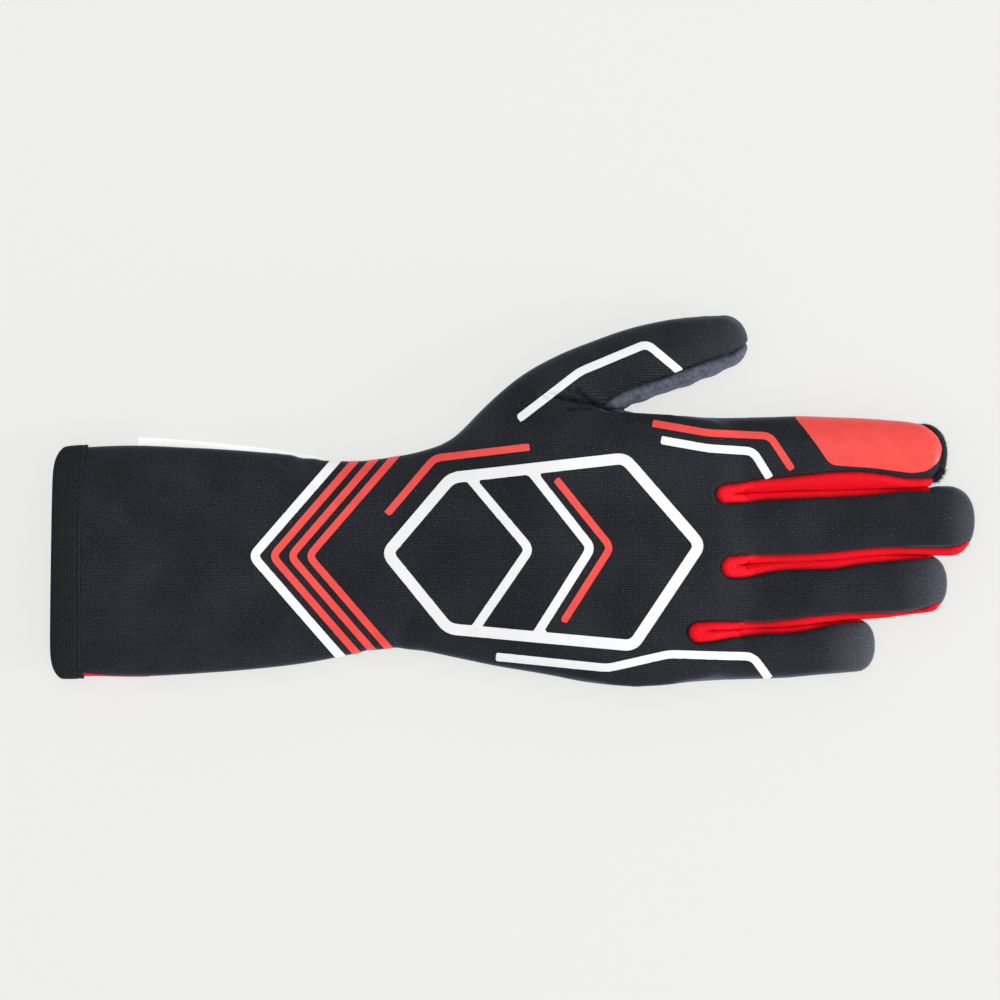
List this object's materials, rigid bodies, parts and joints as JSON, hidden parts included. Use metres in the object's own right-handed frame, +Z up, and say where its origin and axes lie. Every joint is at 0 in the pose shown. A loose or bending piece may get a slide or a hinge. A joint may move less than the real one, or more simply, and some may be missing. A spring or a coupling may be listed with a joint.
{
  "type": "racing glove",
  "caption": "Right-hand karting glove lying palm down: black knit back, charcoal suede palm, red stretch strips between the fingers, long bound cuff, hollow and open at the mouth.",
  "frame": {"origin": "middle of the glove's footprint, on the surface that it lies on", "axes": "+X from the cuff mouth to the fingertips, +Y towards the thumb, +Z up from the palm side to the back of the hand"},
  "size_m": [0.3318, 0.1332, 0.0241],
  "materials": {
    "knit_black": "fine matt knit",
    "suede_charcoal": "napped suede",
    "binding_black": "ribbed knit tape",
    "stretch_red": "ribbed stretch fabric, soft sheen",
    "label_white": "woven satin tape",
    "print_white": "smooth rubber print",
    "print_red": "smooth rubber print"
  },
  "bodies": {
    "root": {"back_panel": "knit_black", "palm_panel": "suede_charcoal", "thumb_palm_panel": "suede_charcoal", "cuff_palm_panel": "knit_black", "cuff_binding": "binding_black", "side_label": "label_white", "fourchette_index_middle": "stretch_red", "fourchette_middle_ring": "stretch_red", "fourchette_ring_little": "stretch_red"}
  },
  "joints": []
}
